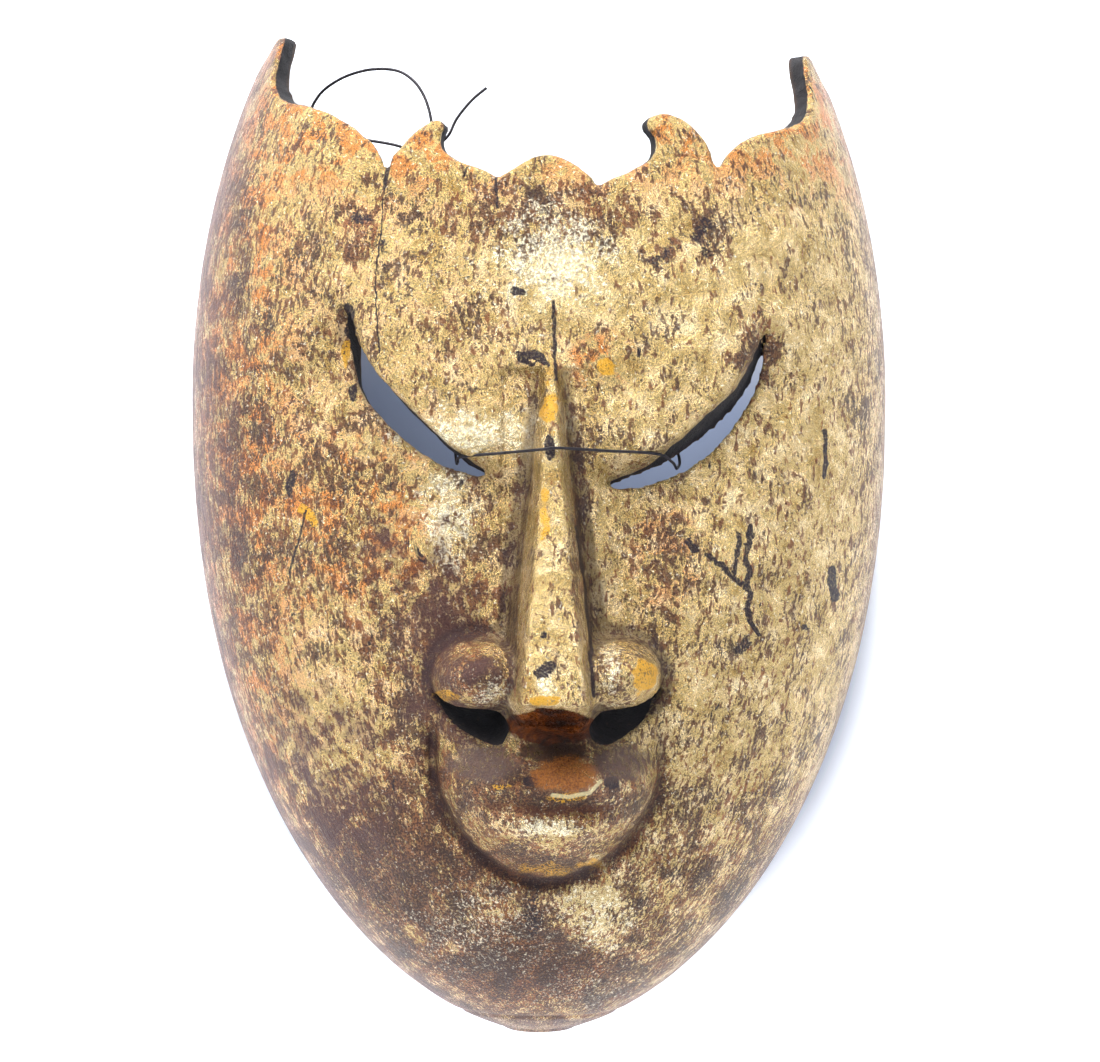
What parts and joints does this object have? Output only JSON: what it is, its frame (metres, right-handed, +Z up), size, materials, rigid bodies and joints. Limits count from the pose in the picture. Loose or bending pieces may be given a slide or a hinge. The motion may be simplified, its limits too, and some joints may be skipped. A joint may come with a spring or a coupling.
{
  "type": "noh mask",
  "caption": "Carved wooden theatre mask with worn gilding, crescent eye slits, a long straight nose, a scalloped crown edge with horns, and a thin iron hanging wire.",
  "frame": {"origin": "centre of the flat back rim, at half of the mask's height", "axes": "+Z up to the crown edge, the face looks along -Y, +X to the right of someone looking at the face"},
  "size_m": [0.145, 0.0767, 0.2085],
  "materials": {
    "gilded_wood": "worn gold leaf over yellow-orange ground, dark bare wood inside",
    "iron_wire": "dull blackened iron"
  },
  "bodies": {
    "root": {"mask_shell": "gilded_wood", "nose_wire": "iron_wire", "hanging_loop": "iron_wire"}
  },
  "joints": []
}
